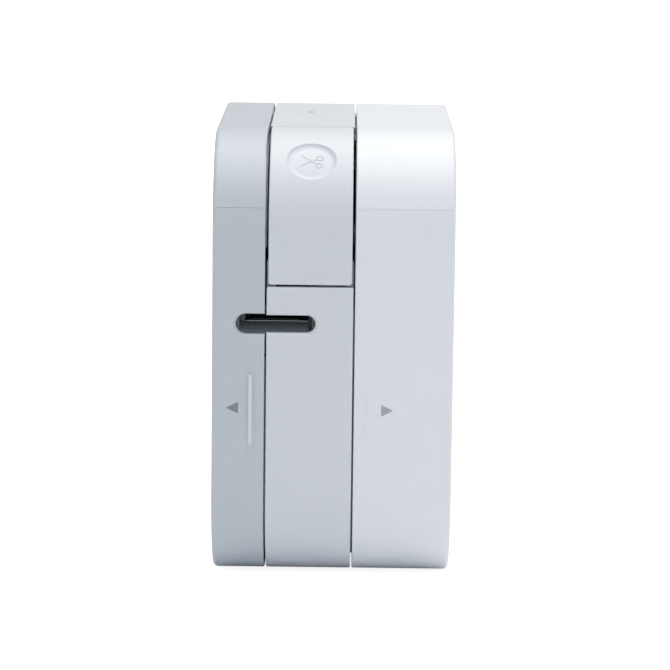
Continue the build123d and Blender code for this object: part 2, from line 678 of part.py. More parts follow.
# ---------------------------------------------------------------- springs
def coil(plane, height, radius, wire, turns):
    """A compression spring standing on a plane, whose end coils lie flat."""
    rise = height - 2 * wire
    with Locations(plane.offset(wire).location, plane.offset(height - wire).location):
        Torus(radius, wire)
    with BuildLine(Plane(origin=plane.offset(wire).origin)) as path:
        Helix(rise / turns, rise, radius, direction=plane.z_dir)
    with BuildSketch(Plane(origin=path.line @ 0, z_dir=path.line % 0)) as section:
        Circle(wire * 0.97)
    sweep(section.sketch, path=path.line, is_frenet=True)


with BuildPart() as lever_spring:
    coil(Plane(origin=(-11.0, *PIVOT), z_dir=(1, 0, 0)), 7.0, PIN + 0.6, 0.3, 6)
    rod_z((PIVOT[1], PIVOT[1] + 4), (-11.0 + 0.3, PIVOT[0] + PIN + 0.6), 0.29)
    rod_z((PIVOT[1] - 4, PIVOT[1]), (-11.0 + 6.7, PIVOT[0] + PIN + 0.6), 0.29)
keep("lever_spring", lever_spring)

HEAD_SPRING_AT = (WEB[0] - 2.6, -39.4)
with BuildPart() as head_spring:
    foot = Plane(origin=(*HEAD_SPRING_AT, HEAD_SEAT + 1.0))
    coil(foot, HEAD_PLATE[0] - HEAD_SEAT - 1.0, 1.4, 0.25, 3)
keep("head_spring", head_spring)

# ---------------------------------------------------------------- print head
HEAD_X = (TAPE_CENTRE - 6.6, WEB[0] - 0.7)
with BuildPart() as head_bracket:
    with BuildSketch(side(HEAD_X[0])):
        with BuildLine():
            Polyline(
                (NOTCH_Y[0] + 1.1, HEAD_PLATE[0]),
                (HEAD_PIN_AT[0] - 2.2, HEAD_PLATE[0]),
                (HEAD_PIN_AT[0] - 2.2, HEAD_PIN_AT[1]),
                (HEAD_PIN_AT[0] + 1.8, HEAD_PIN_AT[1]),
                (HEAD_PIN_AT[0] + 1.8, HEAD_PLATE[1]),
                (NOTCH_Y[0] + 1.1, HEAD_PLATE[1]),
                close=True,
            )
        make_face()
        with Locations(HEAD_PIN_AT):
            Circle(2.2)
    extrude(amount=HEAD_X[1] - HEAD_X[0])
    rod_x(HEAD_X, HEAD_PIN_AT, HEAD_PIN + TURN, Mode.SUBTRACT)
keep("head_bracket", head_bracket)

with BuildPart() as print_head:
    y = (PLATEN_AT[0] - 1.6, PLATEN_AT[0] + 1.6)
    block((HEAD_X[0] + 0.4, HEAD_X[1] - 1.4), y, (HEAD_PLATE[1], HEAD_TOP - 0.3))
    block((HEAD_X[0] + 0.6, HEAD_X[1] - 1.6), (y[0] + 1.3, y[1] - 1.3), (HEAD_TOP - 0.3, HEAD_TOP))
keep("print_head", print_head)

with BuildPart() as head_pin:
    rod_x((HEAD_X[0] - 0.8, WEB[1]), HEAD_PIN_AT, HEAD_PIN)
keep("head_pin", head_pin)


# ---------------------------------------------------------------- cassette
def case_profile():
    """The cassette seen from the side, with the window for the head and platen."""
    Polygon(
        (CASE_Y[0], CASE_Z[0] + 14),
        (CASE_Y[0] + 10, CASE_Z[0]),
        (CASE_Y[1], CASE_Z[0]),
        (CASE_Y[1], CASE_Z[1] - 8),
        (CASE_Y[1] - 8, CASE_Z[1]),
        (NOTCH_Y[1], CASE_Z[1]),
        (NOTCH_Y[1], NOTCH_FLOOR),
        (NOTCH_Y[0], NOTCH_FLOOR),
        (NOTCH_Y[0], CASE_Z[1]),
        (CASE_Y[0], CASE_Z[1]),
        align=None,
    )


ROLLS = ((TAPE_ROLL_AT, HUB), (FILM_ROLL_AT, HUB), (RIBBON_AT, HUB))
GUIDE_PIN = (NOTCH_Y[1] + 3.6, TAPE_LEVEL - TAPE / 2 - 0.85)
INSIDE_X = (CASE_X[0] + CASE_WALL, CASE_X[1] - CASE_WALL)

with BuildPart() as cassette_case:
    with BuildSketch(side(INSIDE_X[0])):
        case_profile()
    extrude(amount=CASE_X[1] - INSIDE_X[0])
    with BuildSketch(side(INSIDE_X[0])):
        case_profile()
        offset(amount=-CASE_WALL, kind=Kind.INTERSECTION, mode=Mode.REPLACE)
    extrude(amount=INSIDE_X[1] - INSIDE_X[0], mode=Mode.SUBTRACT)
    slit = (TAPE_LEVEL - 0.6, TAPE_LEVEL + 0.6)
    for y in ((CASE_Y[0], NOTCH_Y[0]), (NOTCH_Y[1], NOTCH_Y[1] + CASE_WALL)):
        block((INSIDE_X[0], TAPE_CENTRE + TAPE_WIDTH / 2 + 0.4), y, slit, Mode.SUBTRACT)
    for at, radius in ROLLS:
        rod_x(INSIDE_X, at, radius)
    rod_x(INSIDE_X, GUIDE_PIN, 0.8)
    rod_x((INSIDE_X[1], CASE_X[1]), TAKE_UP_AT, HUB + 0.6, Mode.SUBTRACT)
keep("cassette_case", cassette_case)

with BuildPart() as cassette_lid:
    with BuildSketch(side(CASE_X[0])):
        case_profile()
    extrude(amount=CASE_WALL)
keep("cassette_lid", cassette_lid)

TAPE_X = (TAPE_CENTRE - TAPE_WIDTH / 2, TAPE_CENTRE + TAPE_WIDTH / 2)


def roll(at, outer, inner):
    """A wound roll of tape or ribbon."""
    rod_x(TAPE_X, at, outer)
    rod_x(TAPE_X, at, inner, Mode.SUBTRACT)


with BuildPart() as tape_roll:
    roll(TAPE_ROLL_AT, TAPE_ROLL, HUB + AIR)
keep("tape_roll", tape_roll)

with BuildPart() as film_roll:
    roll(FILM_ROLL_AT, FILM_ROLL, HUB + AIR)
keep("film_roll", film_roll)

with BuildPart() as ribbon_supply:
    roll(RIBBON_AT, RIBBON_ROLL, HUB + AIR)
keep("ribbon_supply", ribbon_supply)

with BuildPart() as ribbon_take_up:
    roll(TAKE_UP_AT, TAKE_UP_ROLL, SPINDLE)
keep("ribbon_take_up", ribbon_take_up)

TAPE_END = BLADE_PLANE + BLADE + 0.3
with BuildPart() as label_tape:
    reach = hypot(TAPE_ROLL_AT[0] - GUIDE_PIN[0], TAPE_ROLL_AT[1] - TAPE_LEVEL)
    away = TAPE_ROLL + TAPE
    down = heading((GUIDE_PIN[0], TAPE_LEVEL), TAPE_ROLL_AT)
    down += degrees(atan2(away, (reach**2 - away**2) ** 0.5))
    leave = towards((GUIDE_PIN[0], TAPE_LEVEL), (reach**2 - away**2) ** 0.5, down)
    with BuildSketch(side(TAPE_X[0])):
        with BuildLine():
            Polyline((TAPE_END, TAPE_LEVEL), (GUIDE_PIN[0], TAPE_LEVEL), leave)
        trace(line_width=TAPE)
    extrude(amount=TAPE_WIDTH)
keep("label_tape", label_tape)

# ---------------------------------------------------------------- battery side
with BuildPart() as battery_tray:
    wall_ring((TRAY_RIM, TRAY_FACE[1]), TRAY_INSET, TRAY_INSET + TRAY_WALL)
    with BuildSketch(side(TRAY_FACE[0])):
        outline(TRAY_INSET)
    extrude(amount=TRAY_FACE[1] - TRAY_FACE[0])
    half = POCKET_HALF
    wall = TRAY_WALL
    block(
        (POCKET_FLOOR[0], TRAY_FACE[0]),
        (-half - wall, half + wall),
        (POCKET_FOOT - wall, POCKET_TOP + wall),
    )
    block(
        (POCKET_FLOOR[1], TRAY_FACE[1]),
        (-half, half),
        (POCKET_FOOT, POCKET_TOP),
        Mode.SUBTRACT,
    )
    for at in TRAY_SCREWS:
        rod_x(TRAY_FACE, at, 1.15, Mode.SUBTRACT)
    lever_room((TRAY_RIM - 0.1, BAND[1] + 0.3), CLEAR)
    lug = (PANEL_TOP - 5.5 - AIR, PANEL_TOP + 0.1)
    block((TRAY_RIM, BAND[1] + AIR), (FRONT + WALL, PIVOT[0] + 1.6 + AIR), lug, Mode.SUBTRACT)
    inlet = (JACK_AT[1] - 4.5 - AIR, JACK_AT[1] + 4.5 + AIR)
    block((TRAY_RIM, BAND[1]), (REAR - WALL - 12, REAR - WALL), inlet, Mode.SUBTRACT)
keep("battery_tray", battery_tray)

CELL_YS = [CELL_PITCH * (i - (CELLS - 1) / 2) for i in range(CELLS)]
CELL_FEET = [POCKET_FOOT + PLATE + (DOME if i % 2 else SPRING_LENGTH) for i in range(CELLS)]
for number, (y, foot) in enumerate(zip(CELL_YS, CELL_FEET), start=1):
    with BuildPart() as cell:
        low = foot + (BUTTON_HEIGHT if number % 2 == 0 else 0)
        rod_z((low, low + CELL_LENGTH), (CELL_X, y), CELL)
        fillet(cell.edges().filter_by(GeomType.CIRCLE), 0.5)
        rod_z((foot, foot + CELL_LENGTH + BUTTON_HEIGHT), (CELL_X, y), 1.9)
        if number % 2:
            rod_z((foot - 1, low), (CELL_X, y), 3, Mode.SUBTRACT)
    keep(f"battery_{number}", cell)

with BuildPart() as battery_contacts:
    for number, y in enumerate(CELL_YS, start=1):
        plus_low = number % 2 == 0
        span = (y - CELL_PITCH / 2 + 0.5, y + CELL_PITCH / 2 - 0.5)
        for z, plus in ((POCKET_FOOT, plus_low), (POCKET_TOP - PLATE, not plus_low)):
            block((POCKET_FLOOR[1], POCKET_FLOOR[1] + 8), span, (z, z + PLATE))
            if plus:
                dome = (z + PLATE, z + PLATE + DOME) if plus_low else (z - DOME, z)
                rod_z(dome, (CELL_X, y), 1.6)
    for pair in range(CELLS // 2):
        y = CELL_YS[2 * pair]
        block((CELL_X, CELL_X + 2), (y, y + CELL_PITCH), (POCKET_TOP - PLATE, POCKET_TOP))
    for pair in range(CELLS // 2 - 1):
        y = CELL_YS[2 * pair + 1]
        block((CELL_X, CELL_X + 2), (y, y + CELL_PITCH), (POCKET_FOOT, POCKET_FOOT + PLATE))
keep("battery_contacts", battery_contacts)

with BuildPart() as battery_springs:
    for number, y in enumerate(CELL_YS, start=1):
        foot = POCKET_FOOT + PLATE if number % 2 else POCKET_TOP - PLATE - SPRING_LENGTH
        coil(Plane(origin=(CELL_X, y, foot)), SPRING_LENGTH, 2.6, 0.3, 3)
keep("battery_springs", battery_springs)

# ---------------------------------------------------------------- boards, button, inlet
with BuildPart() as main_board:
    block(BOARD_X, BOARD_Y, BOARD_Z)
    fillet(main_board.edges().filter_by(Axis.X), 0.8)
    for y in (BOARD_Y[0] + 4, BOARD_Y[1] - 4):
        for z in (BOARD_Z[0] + 4, BOARD_Z[1] - 4):
            rod_x(BOARD_X, (y, z), 0.9, Mode.SUBTRACT)
keep("main_board", main_board)

top = BOARD_X[1]
with BuildPart() as board_chips:
    block((top, top + 1.4), (-12, 2), (28, 42))
    block((top, top + 1.2), (10, 18), (20, 30))
    block((top, top + 1.2), (8, 16), (38, 44))
    block((top, top + 2.4), (-28, -22), (20, 34))
    for y in (20, 26):
        rod_x((top, top + 5.0), (y, 47), 2.4)
keep("board_chips", board_chips)

with BuildPart() as wireless_module:
    block((top, top + 0.8), (-34, -20), (38, 50))
    block((top + 0.8, top + 2.6), (-33, -24), (39, 49))
keep("wireless_module", wireless_module)

with BuildPart() as dc_inlet:
    x, z = JACK_AT
    rod_y((REAR - WALL, REAR - 0.2), JACK_AT, JACK_NOSE)
    block((x - 4.1, x + 4.1), (REAR - WALL - 11, REAR - WALL), (z - 4.5, z + 4.5))
    rod_y((REAR - 10, REAR), JACK_AT, JACK_BORE, Mode.SUBTRACT)
keep("dc_inlet", dc_inlet)

with BuildPart() as inlet_pin:
    rod_y((REAR - 10, REAR - 1.0), JACK_AT, 0.8)
    fillet(inlet_pin.edges().filter_by(GeomType.CIRCLE).sort_by(Axis.Y)[-1], 0.4)
keep("inlet_pin", inlet_pin)

x, y = BUTTON_AT
with BuildPart() as switch_board:
    block((x - 5, x + 5), (y - 6.4, y + 6.4), SWITCH_BOARD)
keep("switch_board", switch_board)

with BuildPart() as tact_switch:
    block((x - 3, x + 3), (y - 3, y + 3), (SWITCH_BOARD[1], SWITCH_BOARD[1] + 3.0))
    rod_z((SWITCH_BOARD[1] + 3.0, SWITCH_BOARD[1] + 3.5), BUTTON_AT, 1.6)
keep("tact_switch", tact_switch)

with BuildPart() as power_button:
    stem = SWITCH_BOARD[1] + 3.5 + TOUCH + BUTTON_TRAVEL
    rod_z((HEIGHT - WALL - 0.9, HEIGHT), BUTTON_AT, BUTTON)
    rod_z((HEIGHT - WALL - 1.6, HEIGHT - WALL - 0.2), BUTTON_AT, BUTTON + 1.2)
    rod_z((stem, HEIGHT - WALL - 1.6), BUTTON_AT, 1.5)
keep("power_button", power_button)

with BuildPart() as led_lens:
    rod_z((HEIGHT - WALL, HEIGHT), (x, LENS_Y), 0.75)
    rod_z((HEIGHT - WALL - 1, HEIGHT - WALL), (x, LENS_Y), 1.4)
keep("led_lens", led_lens)


# ---------------------------------------------------------------- screws
def pan_screw(x, at, head, shank, length, rise):
    """A pan head screw driven towards -X, with a cross recess."""
    rod_x((x, x + rise), at, head)
    rod_x((x - length, x), at, shank)
    block((x + rise / 2, x + rise), (at[0] - 0.2, at[0] + 0.2), (at[1] - 0.9, at[1] + 0.9), Mode.SUBTRACT)
    block((x + rise / 2, x + rise), (at[0] - 0.9, at[0] + 0.9), (at[1] - 0.2, at[1] + 0.2), Mode.SUBTRACT)


with BuildPart() as tray_screws:
    for at in TRAY_SCREWS:
        pan_screw(TRAY_FACE[1], at, 2.1, 0.9, 9.0, 1.3)
keep("tray_screws", tray_screws)

with BuildPart() as plate_screws:
    for at in PLATE_SCREWS:
        pan_screw(GEAR_PLATE[1], at, 1.5, 0.7, 5.0, 1.0)
keep("plate_screws", plate_screws)

with BuildPart() as board_screws:
    for y in (BOARD_Y[0] + 4, BOARD_Y[1] - 4):
        for z in (BOARD_Z[0] + 4, BOARD_Z[1] - 4):
            pan_screw(BOARD_X[1], (y, z), 1.5, 0.7, 5.0, 1.0)
keep("board_screws", board_screws)

# ---------------------------------------------------------------- export
os.makedirs("parts", exist_ok=True)
for label, part in pieces.items():
    export_step(part, f"parts/{label}.step")
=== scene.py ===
"""The looks of a desk-top label maker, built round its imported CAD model, in metres."""

import math

import bmesh
import bpy
import numpy as np
from mathutils import Matrix, Vector


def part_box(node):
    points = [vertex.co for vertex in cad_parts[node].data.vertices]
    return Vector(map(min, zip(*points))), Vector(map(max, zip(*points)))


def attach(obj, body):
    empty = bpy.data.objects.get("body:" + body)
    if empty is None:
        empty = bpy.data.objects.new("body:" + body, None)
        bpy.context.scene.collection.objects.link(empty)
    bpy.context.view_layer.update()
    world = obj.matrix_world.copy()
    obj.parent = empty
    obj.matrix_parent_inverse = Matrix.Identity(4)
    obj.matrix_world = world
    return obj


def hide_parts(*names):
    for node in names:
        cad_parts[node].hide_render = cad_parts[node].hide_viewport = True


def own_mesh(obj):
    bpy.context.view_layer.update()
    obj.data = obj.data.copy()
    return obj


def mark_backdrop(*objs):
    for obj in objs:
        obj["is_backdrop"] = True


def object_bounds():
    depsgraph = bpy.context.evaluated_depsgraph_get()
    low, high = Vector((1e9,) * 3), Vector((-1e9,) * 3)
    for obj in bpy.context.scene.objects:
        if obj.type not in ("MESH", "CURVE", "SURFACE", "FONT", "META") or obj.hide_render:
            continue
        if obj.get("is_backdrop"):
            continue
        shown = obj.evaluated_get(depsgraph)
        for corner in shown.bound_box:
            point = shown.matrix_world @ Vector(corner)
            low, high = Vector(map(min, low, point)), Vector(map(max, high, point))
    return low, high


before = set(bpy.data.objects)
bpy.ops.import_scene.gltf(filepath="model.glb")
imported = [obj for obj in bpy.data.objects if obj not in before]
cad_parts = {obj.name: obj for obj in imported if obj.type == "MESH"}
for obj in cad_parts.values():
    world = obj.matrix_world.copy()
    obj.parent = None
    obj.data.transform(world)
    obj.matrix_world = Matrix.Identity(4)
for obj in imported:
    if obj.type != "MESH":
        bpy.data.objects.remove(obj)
cad_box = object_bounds()
MM = 0.001

# ------------------------------------------------------------------ camera
# A long lens a little above the desk looks square onto the tape exit, as a catalogue would
# show it. Its angles are in radians: turned, tipped down, and rolled.
camera = bpy.data.objects.new("catalogue_camera", bpy.data.cameras.new("catalogue_camera"))
bpy.context.scene.collection.objects.link(camera)
bpy.context.scene.camera = camera
camera.data.sensor_width = 36
camera.data.lens = 166.17
camera.data.clip_start = 0.05
camera.data.clip_end = 20
turn, tip, roll = 0.0026134, -0.168559, -0.011888
facing = Matrix.Rotation(turn, 3, "Z") @ Matrix.Rotation(tip, 3, "X") @ Matrix.Rotation(roll, 3, "Y")
right, ahead, up = facing.col
stand = (2.54 * MM, -823.9 * MM, 195.75 * MM)
axes = Matrix((right, up, -ahead)).transposed()
camera.matrix_world = Matrix.Translation(stand) @ axes.to_4x4()


# ------------------------------------------------------------------ studio
# A white sweep of painted board, flat under the object and rolled up behind it, with a
# broad soft box overhead, a cool one in front and a slim strip on the left. To the camera
# the board gives off light of its own, so it stays pale; for all else it is matt paint.
def linear(colour):
    """The linear RGBA of an sRGB hex colour, by the sRGB curve."""
    srgb = np.array([int(colour[i : i + 2], 16) / 255 for i in (1, 3, 5)])
    rgb = np.where(srgb <= 0.04045, srgb / 12.92, ((srgb + 0.055) / 1.055) ** 2.4)
    return (*rgb.tolist(), 1.0)


def add(tree, kind, sockets=None, **settings):
    """Adds a node: settings are its own, sockets are set, or linked where given a socket."""
    made = tree.nodes.new(kind)
    for name, value in settings.items():
        setattr(made, name, value)
    for name, value in (sockets or {}).items():
        if isinstance(value, bpy.types.NodeSocket):
            tree.links.new(value, made.inputs[name])
        else:
            made.inputs[name].default_value = value
    return made


def finish(name, colour, roughness, ior=1.5, **more):
    """A material of that name: its node tree and its shader, which starts plain."""
    made = bpy.data.materials.new(name)
    made.use_nodes = True
    shader = made.node_tree.nodes["Principled BSDF"]
    sockets = {"Base Color": linear(colour), "Roughness": roughness, "IOR": ior, **more}
    for socket, value in sockets.items():
        shader.inputs[socket].default_value = value
    return made, made.node_tree, shader


def place(name, points, faces, material, body, smooth=True):
    """Puts a mesh of points in metres into the scene, riding on a body."""
    mesh = bpy.data.meshes.new(name)
    mesh.from_pydata(np.asarray(points).reshape(-1, 3).tolist(), [], faces)
    mesh.polygons.foreach_set("use_smooth", [smooth] * len(mesh.polygons))
    mesh.materials.append(material)
    piece = bpy.data.objects.new(name, mesh)
    bpy.context.scene.collection.objects.link(piece)
    if body is None:
        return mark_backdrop(piece)
    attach(piece, body)
    return piece


def lattice(rows, columns, closed=False, first=0):
    """The quads of a grid of points, rows by columns, whose points start at number first;
    closed joins the last column to the first."""
    r = np.arange(rows - 1)[:, None]
    c = np.arange(columns if closed else columns - 1)[None, :]
    n = (c + 1) % columns
    quads = np.stack([r * columns + c, r * columns + n, (r + 1) * columns + n, (r + 1) * columns + c])
    return (quads.reshape(4, -1).T + first).tolist()


board, board_tree, board_shader = finish("painted_sweep_board", "#FBFCFD", 0.9)
board_shader.inputs["Emission Color"].default_value = linear("#FFFFFF")
board_shader.inputs["Emission Strength"].default_value = 0.85
dull = add(board_tree, "ShaderNodeBsdfDiffuse", {"Color": linear("#F6F8FA")})
seen = add(board_tree, "ShaderNodeLightPath").outputs["Is Camera Ray"]
pick = add(board_tree, "ShaderNodeMixShader", {0: seen, 1: dull.outputs[0], 2: board_shader.outputs[0]})
board_tree.links.new(pick.outputs[0], board_tree.nodes["Material Output"].inputs["Surface"])
board_front, board_back, board_side, bend_r = -3.0, 2.2, 3.5, 1.2
bend = np.linspace(0.1, 1.57, 14)
flat = np.linspace(board_front, board_back, 14)
along = np.concatenate([flat, board_back + bend_r * np.sin(bend)])
rise = np.concatenate([np.zeros(14), bend_r * (1 - np.cos(bend))])
across = np.linspace(-board_side, board_side, 12)
sweep = np.stack(np.broadcast_arrays(across[:, None], along[None, :], rise[None, :]), -1)
sweep_faces = [face[::-1] for face in lattice(len(across), len(along))]
place("sweep", sweep, sweep_faces, board, None)

world = bpy.data.worlds.new("soft_room")
bpy.context.scene.world = world
world.use_nodes = True
room_light = world.node_tree.nodes["Background"]
room_light.inputs["Color"].default_value = linear("#F4F7FB")
room_light.inputs["Strength"].default_value = 0.32
aim = Vector((0, 0, 0.06))
for name, spot, size, watts, tint in (
    ("key_box", (0.35, -0.95, 1.25), 1.2, 4.3, "#E2EDFF"),
    ("left_strip", (-1.4, -0.45, 0.5), 0.5, 1.1, "#F4F8FF"),
    ("top_box", (0.15, 0.1, 1.6), 1.6, 20.5, "#FFFCF8"),
):
    light = bpy.data.objects.new(name, bpy.data.lights.new(name, "AREA"))
    light.data.size = size
    light.data.energy = watts
    light.data.color = linear(tint)[:3]
    light.location = spot
    light.rotation_euler = (aim - Vector(spot)).to_track_quat("-Z", "Y").to_euler()
    bpy.context.scene.collection.objects.link(light)
bpy.context.scene.view_settings.view_transform = "Standard"


# ------------------------------------------------------------------ moulded shells
# Covers, middle band and lever are injection moulded ABS about 2 mm thick, off-white with
# a cold cast. The tool was lightly sparked, so the skin is satin with a faint 0.3 mm
# grain. The two covers and the band get whites that differ: partly from shots whose whites
# differ a little, partly painted light, the cassette cover painted darker and the battery
# cover lighter, as light falling from the right would leave them.
def moulded(name, colour, roughness, grain_mm=0.3, depth=0.04, mottle=0.02):
    """Moulded plastic: a spark-eroded grain and a slow drift of tone across the part."""
    made, tree, shader = finish(name, colour, roughness, ior=1.53)
    where = add(tree, "ShaderNodeTexCoord").outputs["Object"]
    drift = add(tree, "ShaderNodeTexNoise", {"Vector": where, "Scale": 18.0, "Detail": 2.0})
    shade = add(
        tree,
        "ShaderNodeMapRange",
        {"Value": drift.outputs["Fac"], "To Min": 1 - mottle, "To Max": 1 + mottle},
    )
    tone = add(
        tree,
        "ShaderNodeVectorMath",
        {0: linear(colour)[:3], "Scale": shade.outputs["Result"]},
        operation="SCALE",
    )
    tree.links.new(tone.outputs["Vector"], shader.inputs["Base Color"])
    grain = add(
        tree,
        "ShaderNodeTexNoise",
        {"Vector": where, "Scale": 1 / (grain_mm * MM) / 2, "Detail": 3.0, "Roughness": 0.6},
    )
    sheen = add(
        tree,
        "ShaderNodeMapRange",
        {"Value": grain.outputs["Fac"], "To Min": roughness - 0.05, "To Max": roughness + 0.05},
    )
    tree.links.new(sheen.outputs["Result"], shader.inputs["Roughness"])
    bump = add(
        tree,
        "ShaderNodeBump",
        {"Height": grain.outputs["Fac"], "Strength": depth, "Distance": 0.02 * MM},
    )
    tree.links.new(bump.outputs["Normal"], shader.inputs["Normal"])
    return made


def dress(material, *nodes):
    """Gives CAD nodes their finish."""
    for node in nodes:
        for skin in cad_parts[node].material_slots:
            skin.material = material


# The cassette cover's darker white is partly painted shade, the battery cover's lighter white partly
# painted light.
cassette_cover_white_painted_shade = moulded("abs_white_cassette_cover_painted_shade", "#D1D7DC", 0.42)
band_white = moulded("abs_white_band", "#E7EAEE", 0.42)
battery_cover_white_painted_light = moulded("abs_white_battery_cover_painted_light", "#F7F9FB", 0.42)
dress(cassette_cover_white_painted_shade, "cassette_cover")
dress(battery_cover_white_painted_light, "battery_cover")
dress(band_white, "main_body", "cutter_lever")
dress(moulded("abs_white_tray", "#DDE0E3", 0.5), "battery_tray")

# ------------------------------------------------------------------ pull marks
# A small arrowhead is pad printed in grey beside each finger ridge and points the way the
# cover pulls off. The ink is matt and a few hundredths of a millimetre thick.
face_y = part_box("main_body")[0].y
ink_depth = 0.03 * MM


def tidy_up(piece, sharp=True):
    """Merges doubles, turns every face outwards and keeps corners over 35 degrees crisp."""
    form = bmesh.new()
    form.from_mesh(piece.data)
    bmesh.ops.remove_doubles(form, verts=form.verts, dist=1e-7)
    bmesh.ops.recalc_face_normals(form, faces=form.faces)
    form.to_mesh(piece.data)
    form.free()
    if sharp:
        piece.data.set_sharp_from_angle(angle=math.radians(35))


def slab(name, outline, lift, material, body, at):
    """A thin upright shape: its outline, (x, z) points in mm, carried from y = at by lift."""
    flat = np.asarray(outline, float) * MM
    count = len(flat)
    level = np.array([at, at + lift])[:, None] + np.zeros(count)
    both = np.broadcast_to(flat, (2, count, 2))
    points = np.stack([both[..., 0], level, both[..., 1]], -1)
    ends = [list(range(count))[::-1], list(range(count, 2 * count))]
    piece = place(name, points, lattice(2, count, closed=True) + ends, material, body)
    tidy_up(piece)
    return piece


ink = moulded("pad_print_grey_ink", "#91979A", 0.6, grain_mm=0.1, depth=0.02)
thin_ink = moulded("pad_print_grey_ink_thin", "#B2B8BB", 0.6, grain_mm=0.1, depth=0.02)
left_arrow = [(-26.9, 46.3), (-23.74, 44.84), (-23.74, 47.8)]
right_arrow = [(15.4, 46.0), (12.45, 47.5), (12.45, 44.5)]
for name, arrow, print_ink, body in (
    ("pull_mark_left", left_arrow, ink, "cassette_cover"),
    ("pull_mark_right", right_arrow, thin_ink, "battery_cover"),
):
    slab(name, arrow, -ink_depth, print_ink, body, face_y)

# ------------------------------------------------------------------ finger ridge lands
# Each finger ridge carries a slim rounded land, a hair proud of the sparked skin around it
# and moulded with it. The left one is glossier and painted a lighter white than its cover,
# a painted highlight along the ridge.
# The left land's lighter white is a painted highlight.
ridge_white_painted_highlight = moulded("abs_white_ridge_painted_highlight", "#E8ECEF", 0.25, grain_mm=0.6, depth=0.02)
ridge_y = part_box("cassette_cover")[0].y


def capsule(centre_x, low, high, half, count=12):
    """An upright rounded strip as (x, z) points in mm, anticlockwise."""
    turn = np.linspace(0, math.pi, count)
    top = np.stack([centre_x + half * np.cos(turn), high - half + half * np.sin(turn)], -1)
    foot = np.stack([centre_x - half * np.cos(turn), low + half - half * np.sin(turn)], -1)
    return np.concatenate([top, foot])


land_low, land_high, land_half, land_rise = 36.9, 54.9, 0.42, 0.04 * MM
for name, x, body, skin in (
    ("ridge_land_left", -20.7, "cassette_cover", ridge_white_painted_highlight),
    ("ridge_land_right", 9.25, "battery_cover", battery_cover_white_painted_light),
):
    land = capsule(x, land_low, land_high, land_half)
    slab(name, land, -land_rise, skin, body, ridge_y)

# ------------------------------------------------------------------ cutter lever mark
# The lever turns on a steel pin and is pressed to cut. Its dimple carries a pair of open
# scissors, moulded as a fine raised line in the same plastic, painted a shade darker than
# the plastic round it as painted shade along the line.
def carry(path, profile, hint, closed=False):
    """Points of a profile carried along a path: (count, k, 3). At each point of the path
    the profile's first axis is tangent x hint, and its second completes the right hand."""
    path = np.asarray(path, float)
    if closed:
        tangent = np.roll(path, -1, 0) - np.roll(path, 1, 0)
    else:
        tangent = np.gradient(path, axis=0)
    tangent /= np.linalg.norm(tangent, axis=1, keepdims=True)
    hint = np.broadcast_to(np.asarray(hint, float), path.shape)
    side = np.cross(tangent, hint)
    side /= np.linalg.norm(side, axis=1, keepdims=True)
    over = np.cross(side, tangent)
    profile = np.asarray(profile, float)
    return path[:, None] + side[:, None] * profile[:, :1] + over[:, None] * profile[:, 1:]


def rod(name, path, profile, hint, material, body, closed=False):
    """A bar of constant profile along a path in metres, with flat ends unless closed."""
    grid = carry(path, profile, hint, closed)
    count, around = grid.shape[:2]
    if closed:
        grid = np.concatenate([grid, grid[:1]])
        faces = lattice(count + 1, around, closed=True)
    else:
        ends = [list(range(around)), list(range((count - 1) * around, count * around))[::-1]]
        faces = lattice(count, around, closed=True) + ends
    piece = place(name, grid, faces, material, body)
    tidy_up(piece, sharp=not closed)
    return piece


def ring(radius, count=12):
    """A circle as (count, 2) points."""
    angle = np.linspace(0, 2 * math.pi, count, endpoint=False)
    return np.stack([radius * np.cos(angle), radius * np.sin(angle)], -1)


lever_low, lever_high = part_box("cutter_lever")
corner_r, dimple_depth = 24.0 * MM, 0.8 * MM
dimple_lean = math.radians(47.3)
out = np.array([0, -math.cos(dimple_lean), math.sin(dimple_lean)])
corner_axis = np.array(
    [(lever_low.x + lever_high.x) / 2, lever_low.y + corner_r, cad_box[1][2] - corner_r]
)


def in_dimple(across, along):
    """Points on the dimple's floor, from offsets in mm across it and up its curve."""
    floor_r = corner_r - dimple_depth
    lean = dimple_lean + np.asarray(along) * MM / floor_r
    steps = [np.asarray(across) * MM, -floor_r * np.cos(lean), floor_r * np.sin(lean)]
    return corner_axis + np.stack(np.broadcast_arrays(*steps), -1)


# The scissors line's darker white is painted shade.
scissors_line_painted_shade = moulded("abs_white_raised_line_painted_shade", "#D3D7DA", 0.5)
stroke = ring(0.11 * MM, 10)
step = np.linspace(0, 1, 24)
turn_round = np.linspace(0, 2 * math.pi, 40, endpoint=False)
blade_bow, blade_stop = 0.1, 0.8
for name, tip_at, loop_at, loop in (
    ("scissors_upper_blade", (-2.67, 2.05), (1.85, -1.28), (0.85, 0.72)),
    ("scissors_lower_blade", (-2.95, -1.62), (2.05, 1.11), (0.95, 0.68)),
):
    span = np.subtract(loop_at, tip_at)
    end = loop_at - blade_stop * span / np.hypot(*span)
    bow = blade_bow * np.sin(math.pi * step) * (1 if tip_at[1] < 0 else -1)
    blade_line = in_dimple(
        tip_at[0] + (end[0] - tip_at[0]) * step, tip_at[1] + (end[1] - tip_at[1]) * step + bow
    )
    rod(name, blade_line, stroke, out, scissors_line_painted_shade, "cutter_lever")
    loop_line = in_dimple(
        loop_at[0] + loop[0] * np.cos(turn_round), loop_at[1] + loop[1] * np.sin(turn_round)
    )
    rod(name + "_handle", loop_line, stroke, out, scissors_line_painted_shade, "cutter_lever", True)

